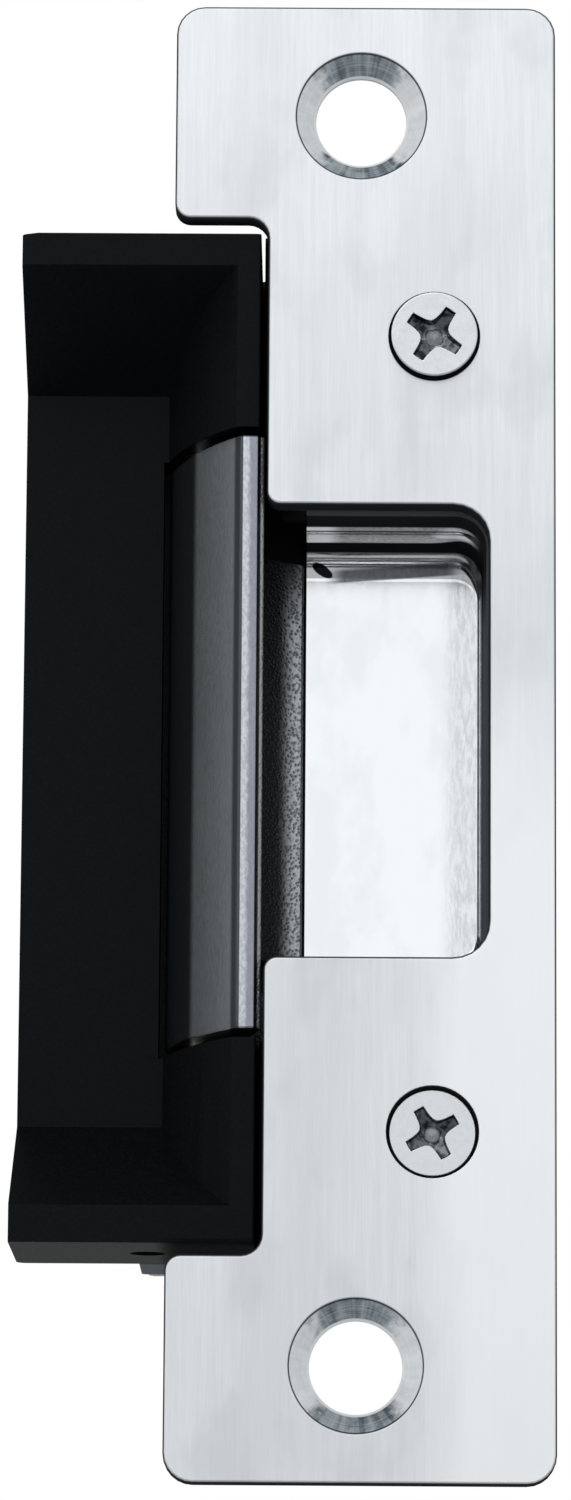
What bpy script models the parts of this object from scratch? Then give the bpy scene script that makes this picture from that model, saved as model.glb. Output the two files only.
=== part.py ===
"""Electric door strike: faceplate, lip frame, case, swinging keeper and solenoid lock.

Sizes are in millimetres in the design frame and become metres in place(). In the design
frame X runs right, Y runs back into the jamb and Z runs up, and the origin is the middle
of the faceplate's front face. The finished model's origin is the middle of its box.
"""

import math

import bmesh
import bpy
from mathutils import Matrix, Vector

MM = 0.001
GAP = 0.3

# Faceplate: the 4-7/8 by 1-1/4 inch size.
PLATE_W, PLATE_H, PLATE_T = 31.8, 123.8, 2.4
PLATE_R = 2.4
PLATE_EDGE = 0.2
RECESS_X, RECESS_H = -8.05, 43.45
CUT_X, CUT_H = 10.4, 18.95
FIX_X, FIX_Z = -0.35, 52.4
FIX_R, FIX_SINK_R = 3.8, 5.55
SCREW_X, SCREW_Z = 5.8, 33.35
SCREW_SINK_R, SCREW_HOLE_R = 3.8, 2.4
SINK_TAN = 0.869

# Face screws: the upper head stands proud of the plate and the lower one is sunk.
HEAD_R, SHANK_R, HEAD_RIM = 3.5, 1.9, 0.25
UPPER_TOP, UPPER_LENGTH, UPPER_TURN = -0.9, 8.9, 56
LOWER_TOP, LOWER_LENGTH, LOWER_TURN = 0.75, 8.1, 30
UPPER_SINK, LOWER_SINK = 0.6, 1.0

# Lip frame: the dark ramp casting beside the plate.
LIP_LEFT, LIP_RIGHT = -28.65, -8.65
LIP_FRONT, LIP_BACK = 0.3, 16.5
LIP_BOTTOM, LIP_TOP = -42.5, 42.2
LIP_CORNER = (1.3, 0.17)
FLOOR_Y = 13.4
MOUTH_H, FLOOR_H = 39.45, 31.4
WINDOW_X, WINDOW_H = -16.9, 25.6
CHANNEL_INSET = 0.4
END_HOLE, END_HOLE_R = (-17.5, 8.6), 1.45
LIP_SCREW_X, LIP_SCREW_Z = -13.2, 31.6
LIP_SCREW_R, LIP_THREAD_R = 1.2, 1.5

# Case and its chambers.
CASE_LEFT, CASE_STEP, CASE_RIGHT = -18.4, -8.35, 12.8
CASE_FRONT, CASE_BACK = PLATE_T + GAP, 24.9
CASE_H, WALL = 42.5, 1.5
POCKET_X, POCKET_H, POCKET_Y = 10.25, 18.7, 17.0
POCKET_LEFT, POCKET_WALL = -4.75, 0.95
CHAMBER_H = POCKET_H + POCKET_WALL + GAP
DIVIDER = 1.4
# Inset and depth of the pocket's end walls: a rolled step, then a round into the floor.
POCKET_SHAPE = [(0.0, -1.0), (0.0, 6.85), (0.48, 7.15), (0.76, 8.0), (0.84, 9.8), (0.5, 12.0),
                (0.5, 14.4), (0.7, 15.4), (1.26, 16.24), (2.1, 16.8), (3.1, POCKET_Y)]
POCKET_CORNER = 2.6
COVER_T = 1.2
COVER_POINTS = [(-14.4, 38.2), (9.1, 23.8), (9.1, -23.8), (-14.4, -38.2)]
COVER_THREAD_R = 1.3
GROMMET_X, GROMMET_Z = 2.5, 31.0
CABLE_R, OUTLET_R = 3.1, 4.3
BOSS_Y = 9.4

# Keeper: it turns about a pin along Z.
PIVOT_X, PIVOT_Y = -13.4, 11.8
KEEPER_H = 24.85
RIDGE = (-10.2, 0.3)
RIDGE_W = 1.25
FLANK_R = 31.5
FLANK_END = (-16.4, 15.0)
KEEPER_BACK = 16.5
FOOT_X, FOOT_TOP = -4.95, 17.5
PIN_R, PIN_H = 1.0, 28.9
BUSH_R = 1.65

# Lock: a seesaw lever between the plunger and the keeper's heel.
LEVER_X, LEVER_Z = -1.5, -26.3
LEVER_Y = (10.9, 12.9)
ARM = 3.4
STROKE = 1.8
TILT = math.atan(STROKE / 2 / ARM)
SOLENOID_X, SOLENOID_Y = LEVER_X + ARM, 16.5
LINK_Z = LEVER_Z + STROKE / 2
YOKE = (-40.5, -31.0)
YOKE_T = 1.0
PLUNGER_R = 2.5
COLLAR_T = 0.6
COIL_R = 6.6
BOBBIN_R, BOBBIN_FLANGE = 3.3, 0.8
POLE_R, POLE_HEAD = 1.2, 1.4
YOKE_SCREW = 4.6
LINK_R = 0.7

# Terminal block for the coil's two wires.
TERMINAL_X, TERMINAL_Y, TERMINAL_Z = (-4.0, 6.0), (11.0, 20.0), (26.0, 35.0)
WELLS, WELL_Z = (-1.5, 3.5), 30.5
WIRE_R = 0.5

# The design frame's point that becomes the model's origin.
CENTRE = Vector((-6.375, 13.4, 0.0))


def place(x, y, z):
    """World place in metres of a point given in the design frame."""
    return (Vector((x, y, z)) - CENTRE) * MM


def mesh_object(name, bm):
    """Object made from a bmesh whose points are in the design frame."""
    bmesh.ops.recalc_face_normals(bm, faces=bm.faces)
    bmesh.ops.transform(bm, matrix=Matrix.Translation(-CENTRE), verts=bm.verts)
    bmesh.ops.scale(bm, vec=Vector((MM, MM, MM)), verts=bm.verts)
    mesh = bpy.data.meshes.new(name)
    bm.to_mesh(mesh)
    bm.free()
    mesh.shade_smooth()
    mesh.set_sharp_from_angle(angle=math.radians(32))
    item = bpy.data.objects.new(name, mesh)
    bpy.context.scene.collection.objects.link(item)
    return item


def loft(name, rings):
    """Closed solid through rings of points, with the first and last ring capped."""
    bm = bmesh.new()
    loops = [[bm.verts.new(point) for point in ring] for ring in rings]
    count = len(loops[0])
    for low, high in zip(loops, loops[1:]):
        for i in range(count):
            j = (i + 1) % count
            bm.faces.new((low[i], low[j], high[j], high[i]))
    bm.faces.new(loops[0][::-1])
    bm.faces.new(loops[-1])
    return mesh_object(name, bm)


def prism(name, outline, axis, low, high):
    """Outline pushed along an axis: its pairs are (X, Z) for axis Y and (X, Y) for axis Z."""
    if axis == "Y":
        rings = [[(a, level, b) for a, b in outline] for level in (low, high)]
    else:
        rings = [[(a, b, level) for a, b in outline] for level in (low, high)]
    return loft(name, rings)


def box(name, x, y, z):
    """Box from three (low, high) pairs."""
    outline = [(x[0], y[0]), (x[1], y[0]), (x[1], y[1]), (x[0], y[1])]
    return prism(name, outline, "Z", z[0], z[1])


def lathe(name, profile, centre, axis, sides=32):
    """Closed turned solid from (radius, height) pairs round an axis through centre."""
    rings = []
    for radius, height in profile:
        ring = []
        for i in range(sides):
            turn = 2 * math.pi * i / sides
            a, b = radius * math.cos(turn), radius * math.sin(turn)
            if axis == "Y":
                ring.append((centre[0] + a, height, centre[1] + b))
            else:
                ring.append((centre[0] + a, centre[1] + b, height))
        rings.append(ring)
    return loft(name, rings)


def rod(name, centre, axis, radius, low, high, sides=32):
    """Plain round bar."""
    return lathe(name, [(radius, low), (radius, high)], centre, axis, sides)


def tube(name, centre, axis, inner, outer, low, high, sides=32):
    """Ring with a bore."""
    ring = rod(name, centre, axis, outer, low, high, sides)
    return cut(ring, rod("bore", centre, axis, inner, low - 1, high + 1, sides))


def combine(body, tool, operation):
    """Boolean of two solids, applied at once; the tool is used up."""
    step = body.modifiers.new("combine", "BOOLEAN")
    step.operation = operation
    step.object = tool
    graph = bpy.context.evaluated_depsgraph_get()
    result = bpy.data.meshes.new_from_object(body.evaluated_get(graph))
    body.modifiers.remove(step)
    old = body.data
    body.data = result
    result.name = body.name
    bpy.data.meshes.remove(old)
    spent = tool.data
    bpy.data.objects.remove(tool)
    bpy.data.meshes.remove(spent)
    result.shade_smooth()
    result.set_sharp_from_angle(angle=math.radians(32))
    return body


def cut(body, tool):
    return combine(body, tool, "DIFFERENCE")


def join(body, tool):
    return combine(body, tool, "UNION")


def rounded(corners, steps=6):
    """Outline with each (a, b, radius) corner replaced by an arc that touches both sides."""
    points = []
    count = len(corners)
    for i, (a, b, radius) in enumerate(corners):
        here = Vector((a, b))
        if radius == 0:
            points.append((a, b))
            continue
        before = (Vector(corners[i - 1][:2]) - here).normalized()
        after = (Vector(corners[(i + 1) % count][:2]) - here).normalized()
        half = before.angle(after) / 2
        centre = here + (before + after).normalized() * radius / math.sin(half)
        start = here + before * radius / math.tan(half) - centre
        end = here + after * radius / math.tan(half) - centre
        turn = start.angle_signed(end)
        for k in range(steps + 1):
            arm = start.copy()
            arm.rotate(Matrix.Rotation(-turn * k / steps, 2))
            points.append(tuple(centre + arm))
    return points


def convex(corners, i):
    """True where an outline given clockwise or not bulges outward at corner i."""
    a, b, c = (Vector(corners[k % len(corners)][:2]) for k in (i - 1, i, i + 1))
    area = sum(p[0] * q[1] - q[0] * p[1] for p, q in zip(corners, corners[1:] + corners[:1]))
    turn = (b - a).x * (c - b).y - (b - a).y * (c - b).x
    return turn * area > 0


def shrunk(corners, i, amount):
    """Corner i of an outline with square corners, moved inward by amount with its radius to suit."""
    a, b, c = (Vector(corners[k % len(corners)][:2]) for k in (i - 1, i, i + 1))
    inward = ((a - b).normalized() + (c - b).normalized()) * amount
    if convex(corners, i):
        return (*(b + inward), corners[i][2] - amount)
    return (*(b - inward), corners[i][2] + amount)


def sweep(name, path, radius, sides=8):
    """Round wire along a list of points."""
    rings = []
    side = None
    for i, point in enumerate(path):
        ahead = Vector(path[min(i + 1, len(path) - 1)]) - Vector(path[max(i - 1, 0)])
        ahead.normalize()
        if side is None:
            side = ahead.orthogonal().normalized()
        side = (side - ahead * side.dot(ahead)).normalized()
        up = ahead.cross(side)
        ring = []
        for k in range(sides):
            turn = 2 * math.pi * k / sides
            ring.append(Vector(point) + radius * (math.cos(turn) * side + math.sin(turn) * up))
        rings.append(ring)
    return loft(name, rings)


def smooth(path, steps=4):
    """Catmull-Rom curve through the points of a path."""
    points = [Vector(p) for p in path]
    points = [points[0] * 2 - points[1]] + points + [points[-1] * 2 - points[-2]]
    curve = []
    for a, b, c, d in zip(points, points[1:], points[2:], points[3:]):
        for k in range(steps):
            t = k / steps
            curve.append(0.5 * (2 * b + (c - a) * t + (2 * a - 5 * b + 4 * c - d) * t**2
                                + (3 * b - a - 3 * c + d) * t**3))
    curve.append(points[-2])
    return curve


def coil_spring(name, centre, mean, wire, low, high, turns):
    """Helix of round wire along Z with closed-up first and last turns."""
    path = []
    steps = turns * 12
    rise = high - low - 2 * wire
    for i in range(steps + 1):
        share = i / steps
        eased = share - 0.5 / turns * math.sin(2 * math.pi * share) / math.pi
        turn = 2 * math.pi * turns * share
        x = centre[0] + mean * math.cos(turn)
        y = centre[1] + mean * math.sin(turn)
        path.append((x, y, low + wire + rise * eased))
    return sweep(name, path, wire, 6)


def flank(steps):
    """Points of the ramp curve, an arc from the ridge back to the keeper's left side."""
    start, end = Vector(RIDGE), Vector(FLANK_END)
    middle = (start + end) / 2
    chord = end - start
    normal = Vector((-chord.y, chord.x)).normalized()
    if normal.x < 0:
        normal = -normal
    half = chord.length / 2
    centre = middle + normal * math.sqrt(FLANK_R**2 - half**2)
    first = math.atan2(start.y - centre.y, start.x - centre.x)
    last = math.atan2(end.y - centre.y, end.x - centre.x)
    span = (last - first + math.pi) % (2 * math.pi) - math.pi
    points = []
    for i in range(steps + 1):
        turn = first + span * i / steps
        points.append((centre.x + FLANK_R * math.cos(turn), centre.y + FLANK_R * math.sin(turn)))
    return points


def paint(item, color, roughness, metallic):
    """Give an object its own Principled material."""
    material = bpy.data.materials.new(item.name)
    material.use_nodes = True
    shader = material.node_tree.nodes["Principled BSDF"]
    shader.inputs["Base Color"].default_value = (*color, 1.0)
    shader.inputs["Roughness"].default_value = roughness
    shader.inputs["Metallic"].default_value = metallic
    item.data.materials.clear()
    item.data.materials.append(material)
    return item


STEEL = ((0.74, 0.75, 0.76), 0.35, 1.0)
PLATED = ((0.80, 0.81, 0.82), 0.15, 1.0)
CAST = ((0.36, 0.37, 0.39), 0.5, 1.0)
BLACK = ((0.012, 0.013, 0.015), 0.55, 0.0)
SPRING_STEEL = ((0.45, 0.46, 0.48), 0.3, 1.0)
BRONZE = ((0.55, 0.36, 0.16), 0.4, 1.0)
COPPER = ((0.62, 0.25, 0.10), 0.35, 1.0)
NYLON = ((0.75, 0.73, 0.66), 0.5, 0.0)
RUBBER = ((0.02, 0.02, 0.02), 0.8, 0.0)
GREEN = ((0.03, 0.20, 0.08), 0.45, 0.0)
LEAD_RED = ((0.35, 0.02, 0.02), 0.45, 0.0)


def faceplate():
    """Flat plate with a recess on the left, a latch cutout and four countersunk holes."""
    right, top = PLATE_W / 2, PLATE_H / 2
    upper = [(-right, top, PLATE_R), (-right, RECESS_H, 1.3), (RECESS_X, RECESS_H, 1.7),
             (RECESS_X, CUT_H, 1.1), (CUT_X, CUT_H, 3.0)]
    lower = [(a, -b, r) for a, b, r in reversed(upper)]
    corners = upper + lower + [(right, -top, PLATE_R), (right, top, PLATE_R)]
    outline = rounded(corners)
    inset = rounded([shrunk(corners, i, PLATE_EDGE) for i in range(len(corners))])
    rings = [[(a, 0.0, b) for a, b in inset], [(a, PLATE_EDGE, b) for a, b in outline],
             [(a, PLATE_T, b) for a, b in outline]]
    plate = loft("faceplate", rings)
    for z in (FIX_Z, -FIX_Z):
        depth = (FIX_SINK_R - FIX_R) / SINK_TAN
        profile = [(FIX_SINK_R + SINK_TAN, -1), (FIX_R, depth), (FIX_R, PLATE_T + 1)]
        cut(plate, lathe("sink", profile, (FIX_X, z), "Y", 64))
    for z, sink in ((SCREW_Z, UPPER_SINK), (-SCREW_Z, LOWER_SINK)):
        depth = sink + (SCREW_SINK_R - SCREW_HOLE_R) / SINK_TAN
        profile = [(SCREW_SINK_R, -1), (SCREW_SINK_R, sink), (SCREW_HOLE_R, depth), (SCREW_HOLE_R, PLATE_T + 1)]
        cut(plate, lathe("sink", profile, (SCREW_X, z), "Y", 48))
    return paint(plate, *STEEL)


def face_screw(name, x, z, top, length, turn):
    """Countersunk screw along Y with a cross recess, its head facing the front."""
    cone = HEAD_RIM + (HEAD_R - SHANK_R) / SINK_TAN
    profile = [(HEAD_R - 0.1, top), (HEAD_R, top + 0.1), (HEAD_R, top + HEAD_RIM),
               (SHANK_R, top + cone), (SHANK_R, top + length)]
    screw = lathe(name, profile, (x, z), "Y")
    for quarter in (0, 90):
        angle = math.radians(turn + quarter)
        along = Vector((math.cos(angle), 0, math.sin(angle)))
        across = Vector((-math.sin(angle), 0, math.cos(angle)))
        rings = []
        for level, reach, width in ((-0.5, HEAD_R * 0.72, 0.55), (1.5, HEAD_R * 0.2, 0.3)):
            middle = Vector((x, top + level, z))
            rings.append([middle + along * reach * s + across * width * t
                          for s, t in ((-1, -1), (1, -1), (1, 1), (-1, 1))])
        cut(screw, loft("recess", rings))
    return paint(screw, *PLATED)


def face_screws():
    """Screws that hold the plate to the case; the upper one stands a little proud."""
    face_screw("face_screw_upper", SCREW_X, SCREW_Z, UPPER_TOP, UPPER_LENGTH, UPPER_TURN)
    face_screw("face_screw_lower", SCREW_X, -SCREW_Z, LOWER_TOP, LOWER_LENGTH, LOWER_TURN)


def channel_rings():
    """Rings of the flared space in front of the floor, one for each depth."""
    edge = [(x - CHANNEL_INSET, y) for x, y in flank(12) if y < FLOOR_Y]
    edge = [(edge[0][0], -1.0)] + edge
    last = [p for p in flank(40) if p[1] >= FLOOR_Y][0]
    edge.append((last[0] - CHANNEL_INSET, FLOOR_Y))
    rings = []
    for x, y in edge:
        share = (max(y, LIP_FRONT) - LIP_FRONT) / (FLOOR_Y - LIP_FRONT)
        height = MOUTH_H + (FLOOR_H - MOUTH_H) * share
        rings.append([(LIP_LEFT - 2, y, -height), (x, y, -height), (x, y, height), (LIP_LEFT - 2, y, height)])
    return rings


def lip_frame():
    """Dark casting with the door latch's run-in channel and the keeper's two pin bearings."""
    outline = rounded([(LIP_LEFT, LIP_FRONT, 0.3), (LIP_RIGHT, LIP_FRONT, 0.3),
                       (LIP_RIGHT, LIP_BACK, 0.3), (LIP_LEFT, LIP_BACK, 0.9)], 3)
    frame = prism("lip_frame", outline, "Z", LIP_BOTTOM, LIP_TOP)
    width, drop = LIP_CORNER
    left, right = LIP_LEFT - width, LIP_LEFT + width
    corner = [(left, LIP_TOP + 1), (left, LIP_TOP - 2 * drop), (right, LIP_TOP), (right, LIP_TOP + 1)]
    cut(frame, prism("corner", corner, "Y", LIP_FRONT - 1, LIP_BACK + 1))
    cut(frame, loft("channel", channel_rings()))
    cut(frame, box("window", (WINDOW_X, -5), (-1, 20), (-WINDOW_H, WINDOW_H)))
    for side in (1, -1):
        reach = sorted((side * (WINDOW_H - 1), side * (PIN_H + GAP)))
        cut(frame, rod("bearing", (PIVOT_X, PIVOT_Y), "Z", BUSH_R + GAP, *reach))
        centre = (LIP_SCREW_X, side * LIP_SCREW_Z)
        cut(frame, rod("thread", centre, "Y", LIP_THREAD_R, LIP_BACK - 5.5, LIP_BACK + 1, 20))
    cut(frame, rod("end_hole", END_HOLE, "Z", END_HOLE_R, LIP_BOTTOM - 1, LIP_BOTTOM + 4))
    return paint(frame, *BLACK)


def lip_screws():
    """Pan-head screws that hold the lip frame to the case from inside."""
    for end, side in (("upper", 1), ("lower", -1)):
        seat = LIP_BACK + GAP + WALL + GAP
        profile = [(LIP_SCREW_R, LIP_BACK - 5), (LIP_SCREW_R, seat), (2.4, seat),
                   (2.4, seat + 1.3), (1.9, seat + 1.7)]
        screw = lathe("lip_screw_" + end, profile, (LIP_SCREW_X, side * LIP_SCREW_Z), "Y", 24)
        paint(screw, *PLATED)


def case_body():
    """Housing behind the plate, open at the back, with chambers above and below the pocket."""
    outline = rounded([(CASE_STEP, CASE_FRONT, 0.3), (CASE_RIGHT, CASE_FRONT, 0.8),
                       (CASE_RIGHT, CASE_BACK, 0.8), (CASE_LEFT, CASE_BACK, 0.6),
                       (CASE_LEFT, LIP_BACK + GAP, 0.3), (CASE_STEP, LIP_BACK + GAP, 0.3)], 3)
    case = prism("case_body", outline, "Z", -CASE_H, CASE_H)
    right, left = CASE_RIGHT - WALL, CASE_STEP + WALL
    end = CASE_H - 1.6
    front = CASE_FRONT + WALL
    low = CHAMBER_H + DIVIDER
    cut(case, box("upper", (left, right), (front, 30), (low, end)))
    cut(case, box("lower", (left, right), (front, 30), (-end, -low)))
    web = POCKET_Y + POCKET_WALL + GAP
    seat = (POCKET_LEFT - GAP, POCKET_X + POCKET_WALL + GAP)
    cut(case, box("pocket_seat", seat, (0, web), (-CHAMBER_H, CHAMBER_H)))
    cut(case, box("wire_room", (left, right), (web + DIVIDER, 30), (-CHAMBER_H, CHAMBER_H)))
    cut(case, box("side", (CASE_LEFT + WALL, left + 1), (LIP_BACK + GAP + WALL, 30), (-end, end)))
    cut(case, box("keeper_space", (-17.1, -3.3), (0, KEEPER_BACK + 0.7), (-WINDOW_H, WINDOW_H)))
    cut(case, box("wire_way", (-7, 4), (CASE_BACK - 2.5, 30), (-low - 1, low + 1)))
    nose = (LEVER_Y[0] - 0.5, LEVER_Y[1] + 0.5)
    cut(case, box("nose_way", (CASE_STEP - 1, left + 1), nose, (-31, -25)))
    for side in (1, -1):
        boss = rod("boss", (SCREW_X, side * SCREW_Z), "Y", 3.7, front - 0.5, BOSS_Y)
        join(case, boss)
        cut(case, rod("thread", (SCREW_X, side * SCREW_Z), "Y", 2.2, 0, BOSS_Y + 1, 24))
        centre = (LIP_SCREW_X, side * LIP_SCREW_Z)
        cut(case, rod("lip_hole", centre, "Y", LIP_THREAD_R, LIP_BACK, LIP_BACK + 4, 20))
    for x, z in COVER_POINTS:
        start = LIP_BACK + 1.5 if x < 0 else front - 0.5
        join(case, box("post", (x - 2.6, x + 2.6), (start, CASE_BACK - 0.01), (z - 2.9, z + 2.9)))
        cut(case, rod("thread", (x, z), "Y", COVER_THREAD_R, CASE_BACK - 6, CASE_BACK + 1, 20))
    join(case, rod("lever_boss", (LEVER_X, LEVER_Z), "Y", 2.1, front - 0.5, LEVER_Y[0] - GAP))
    cut(case, rod("pin_hole", (LEVER_X, LEVER_Z), "Y", 1.3, front + 0.5, LEVER_Y[1], 24))
    for x in (SOLENOID_X - YOKE_SCREW, SOLENOID_X + YOKE_SCREW):
        profile = [(2.2, -CASE_H - 1), (2.2, -CASE_H), (1.3, -CASE_H + 1.0), (1.3, -CASE_H + 4)]
        cut(case, lathe("sink", profile, (x, SOLENOID_Y), "Z", 24))
    return paint(case, *BLACK)


def back_cover():
    """Flat lid over the case, with countersunk holes and the cable outlet."""
    low = CASE_BACK + GAP
    outline = rounded([(CASE_LEFT, -CASE_H, 1.0), (CASE_RIGHT, -CASE_H, 1.0),
                       (CASE_RIGHT, CASE_H, 1.0), (CASE_LEFT, CASE_H, 1.0)], 4)
    cover = prism("back_cover", outline, "Y", low, low + COVER_T)
    for x, z in COVER_POINTS:
        profile = [(1.4, low - 1), (1.4, low + 0.2), (2.4, low + COVER_T), (2.4, low + COVER_T + 1)]
        cut(cover, lathe("sink", profile, (x, z), "Y", 24))
    cut(cover, rod("outlet", (GROMMET_X, GROMMET_Z), "Y", OUTLET_R, low - 1, low + 3))
    return paint(cover, *STEEL)


def back_cover_screws():
    """Small countersunk screws at the cover's corners."""
    top = CASE_BACK + GAP + COVER_T
    for number, (x, z) in enumerate(COVER_POINTS, 1):
        profile = [(1.0, top - 6.5), (1.0, top - 1.1), (2.05, top - 0.05), (2.0, top)]
        screw = lathe(f"back_cover_screw_{number}", profile, (x, z), "Y", 24)
        paint(screw, *PLATED)


def cable_grommet():
    """Rubber ring that lines the cable outlet, with a groove round the cover's edge."""
    low, high = CASE_BACK + GAP, CASE_BACK + GAP + COVER_T
    neck = OUTLET_R - GAP
    flange = neck + 1.3
    profile = [(flange - 0.3, low - 1.3), (flange, low - GAP), (neck, low - GAP), (neck, high + GAP),
               (flange, high + GAP), (flange - 0.5, high + 1.3)]
    ring = lathe("cable_grommet", profile, (GROMMET_X, GROMMET_Z), "Y")
    cut(ring, rod("bore", (GROMMET_X, GROMMET_Z), "Y", CABLE_R, low - 4, high + 4))
    return paint(ring, *RUBBER)


def latch_pocket():
    """Polished cup that receives the latch, open at the front and towards the keeper."""
    right, top = POCKET_X + POCKET_WALL, POCKET_H + POCKET_WALL
    outline = rounded([(POCKET_LEFT, -top, 0), (right, -top, POCKET_CORNER + POCKET_WALL),
                       (right, top, POCKET_CORNER + POCKET_WALL), (POCKET_LEFT, top, 0)])
    body = prism("latch_pocket", outline, "Y", CASE_FRONT, POCKET_Y + POCKET_WALL)
    rings = []
    for inset, depth in POCKET_SHAPE:
        right, top = POCKET_X - inset / 2, POCKET_H - inset
        corner = POCKET_CORNER - inset / 4
        hollow = rounded([(POCKET_LEFT - 1, -top, 0), (right, -top, corner),
                          (right, top, corner), (POCKET_LEFT - 1, top, 0)])
        rings.append([(x, depth, z) for x, z in hollow])
    cut(body, loft("hollow", rings))
    return paint(body, *PLATED)


def keeper():
    """Swinging bar: a curved ramp outside, a hollow cradle inside, a foot and a locking heel."""
    wall = [(RIDGE[0] + RIDGE_W, RIDGE[1]), (-8.55, 0.75), (-8.45, 1.6), (-9.0, 5.0), (-9.6, 8.5),
            (-10.0, 11.0), (-9.7, 13.0), (-9.0, 14.3), (-9.0, KEEPER_BACK)]
    outline = flank(12) + [(-15.6, KEEPER_BACK)] + wall[::-1]
    body = prism("keeper", outline, "Z", -KEEPER_H, KEEPER_H)
    foot = [(-10.5, KEEPER_BACK), (-10.5, 12.2), (-9.75, 12.5), (-8.7, 13.4), (-7.4, 14.45), (-6.4, 15.05),
            (-5.2, 15.4), (FOOT_X, 15.45), (FOOT_X, KEEPER_BACK - 0.15), (-8.0, KEEPER_BACK - 0.15)]
    join(body, prism("foot", foot, "Z", -FOOT_TOP, FOOT_TOP))
    join(body, box("heel", (-10.6, -5.6), (13.3, KEEPER_BACK - 0.3), (-KEEPER_H, -20.0)))
    cut(body, rod("bore", (PIVOT_X, PIVOT_Y), "Z", PIN_R + 0.1, -KEEPER_H - 1, KEEPER_H + 1))
    cut(body, rod("spring_room", (PIVOT_X, PIVOT_Y), "Z", 1.75, -6, 6))
    cut(body, box("spring_slot", (PIVOT_X - 1.4, PIVOT_X + 1.4), (PIVOT_Y, 20), (-6, 6)))
    return paint(body, *CAST)


def keeper_pin():
    """Fixed pin that the keeper turns on."""
    pin = rod("keeper_pin", (PIVOT_X, PIVOT_Y), "Z", PIN_R, -PIN_H, PIN_H)
    return paint(pin, *PLATED)


def keeper_bushes():
    """Bronze sleeves that carry the pin's ends in the lip frame."""
    for end, side in (("upper", 1), ("lower", -1)):
        ends = sorted((side * (WINDOW_H + 0.1), side * (PIN_H - 0.2)))
        bush = tube("keeper_bush_" + end, (PIVOT_X, PIVOT_Y), "Z", PIN_R + 0.08, BUSH_R, *ends)
        paint(bush, *BRONZE)


def keeper_return_spring():
    """Torsion spring wound on the pin inside the keeper."""
    spring = coil_spring("keeper_return_spring", (PIVOT_X, PIVOT_Y), 1.38, 0.2, -5.4, 5.4, 11)
    return paint(spring, *SPRING_STEEL)


def solenoid_frame():
    """C-shaped steel yoke: two end plates joined by a web on the left."""
    x = (SOLENOID_X - 7.9, SOLENOID_X + 7.2)
    y = (SOLENOID_Y - 5.5, SOLENOID_Y + 5.5)
    yoke = box("solenoid_frame", x, y, YOKE)
    room = (YOKE[0] + YOKE_T, YOKE[1] - YOKE_T)
    cut(yoke, box("room", (x[0] + YOKE_T, x[1] + 1), (y[0] - 1, y[1] + 1), room))
    centre = (SOLENOID_X, SOLENOID_Y)
    cut(yoke, rod("plunger_hole", centre, "Z", PLUNGER_R + GAP, YOKE[1] - 2, YOKE[1] + 1))
    cut(yoke, rod("pole_hole", centre, "Z", POLE_R + GAP, YOKE[0] - 1, YOKE[0] + 2, 24))
    for side in (-YOKE_SCREW, YOKE_SCREW):
        hole = (SOLENOID_X + side, SOLENOID_Y)
        cut(yoke, rod("screw_hole", hole, "Z", 1.3, YOKE[0] - 1, YOKE[0] + 2, 20))
    return paint(yoke, *STEEL)


def solenoid_screws():
    """Countersunk screws that hold the yoke to the case's lower end."""
    for end, side in (("left", -YOKE_SCREW), ("right", YOKE_SCREW)):
        base = -CASE_H
        profile = [(1.7, base + 0.02), (1.75, base + 0.12), (0.95, base + 1.05), (0.95, YOKE[0] + 1.15)]
        screw = lathe("solenoid_screw_" + end, profile, (SOLENOID_X + side, SOLENOID_Y), "Z", 24)
        paint(screw, *PLATED)


def solenoid_winding():
    """Nylon bobbin, copper coil and the fixed pole that stops the plunger."""
    centre = (SOLENOID_X, SOLENOID_Y)
    low, high = YOKE[0] + YOKE_T + GAP, YOKE[1] - YOKE_T - GAP
    inner = (low + BOBBIN_FLANGE, high - BOBBIN_FLANGE)
    rim = COIL_R + 0.2
    profile = [(rim, low), (rim, inner[0]), (BOBBIN_R, inner[0]),
               (BOBBIN_R, inner[1]), (rim, inner[1]), (rim, high)]
    bobbin = lathe("solenoid_bobbin", profile, centre, "Z")
    cut(bobbin, rod("bore", centre, "Z", PLUNGER_R + 0.2, low - 1, high + 1))
    coil = tube("solenoid_coil", centre, "Z", BOBBIN_R + GAP, COIL_R, inner[0] + GAP, inner[1] - GAP, 40)
    profile = [(POLE_R, YOKE[0] + 0.1), (POLE_R, low), (2 * POLE_R, low), (2 * POLE_R, low + POLE_HEAD)]
    pole = lathe("solenoid_pole", profile, centre, "Z")
    return [paint(bobbin, *NYLON), paint(coil, *COPPER), paint(pole, *STEEL)]


def plunger():
    """Moving core: a bar with a spring collar and a cross hole for the link pin."""
    foot = YOKE[0] + YOKE_T + GAP + POLE_HEAD + STROKE + GAP
    collar = LINK_Z - 1.2
    profile = [(PLUNGER_R - 0.3, foot), (PLUNGER_R, foot + 0.3), (PLUNGER_R, collar - COLLAR_T),
               (3.3, collar - COLLAR_T), (3.3, collar), (PLUNGER_R, collar),
               (PLUNGER_R, LINK_Z + 1.2), (PLUNGER_R - 0.4, LINK_Z + 1.5)]
    core = lathe("plunger", profile, (SOLENOID_X, SOLENOID_Y), "Z")
    centre = (SOLENOID_X, LINK_Z)
    cut(core, rod("cross_hole", centre, "Y", LINK_R + 0.1, SOLENOID_Y - 5, SOLENOID_Y + 5, 24))
    return paint(core, *STEEL)


def plunger_link_pin():
    """Pin through the plunger that moves the lever's fork."""
    ends = (LEVER_Y[0] - 0.4, SOLENOID_Y + PLUNGER_R + GAP)
    pin = rod("plunger_link_pin", (SOLENOID_X, LINK_Z), "Y", LINK_R, *ends, 24)
    return paint(pin, *PLATED)


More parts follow.
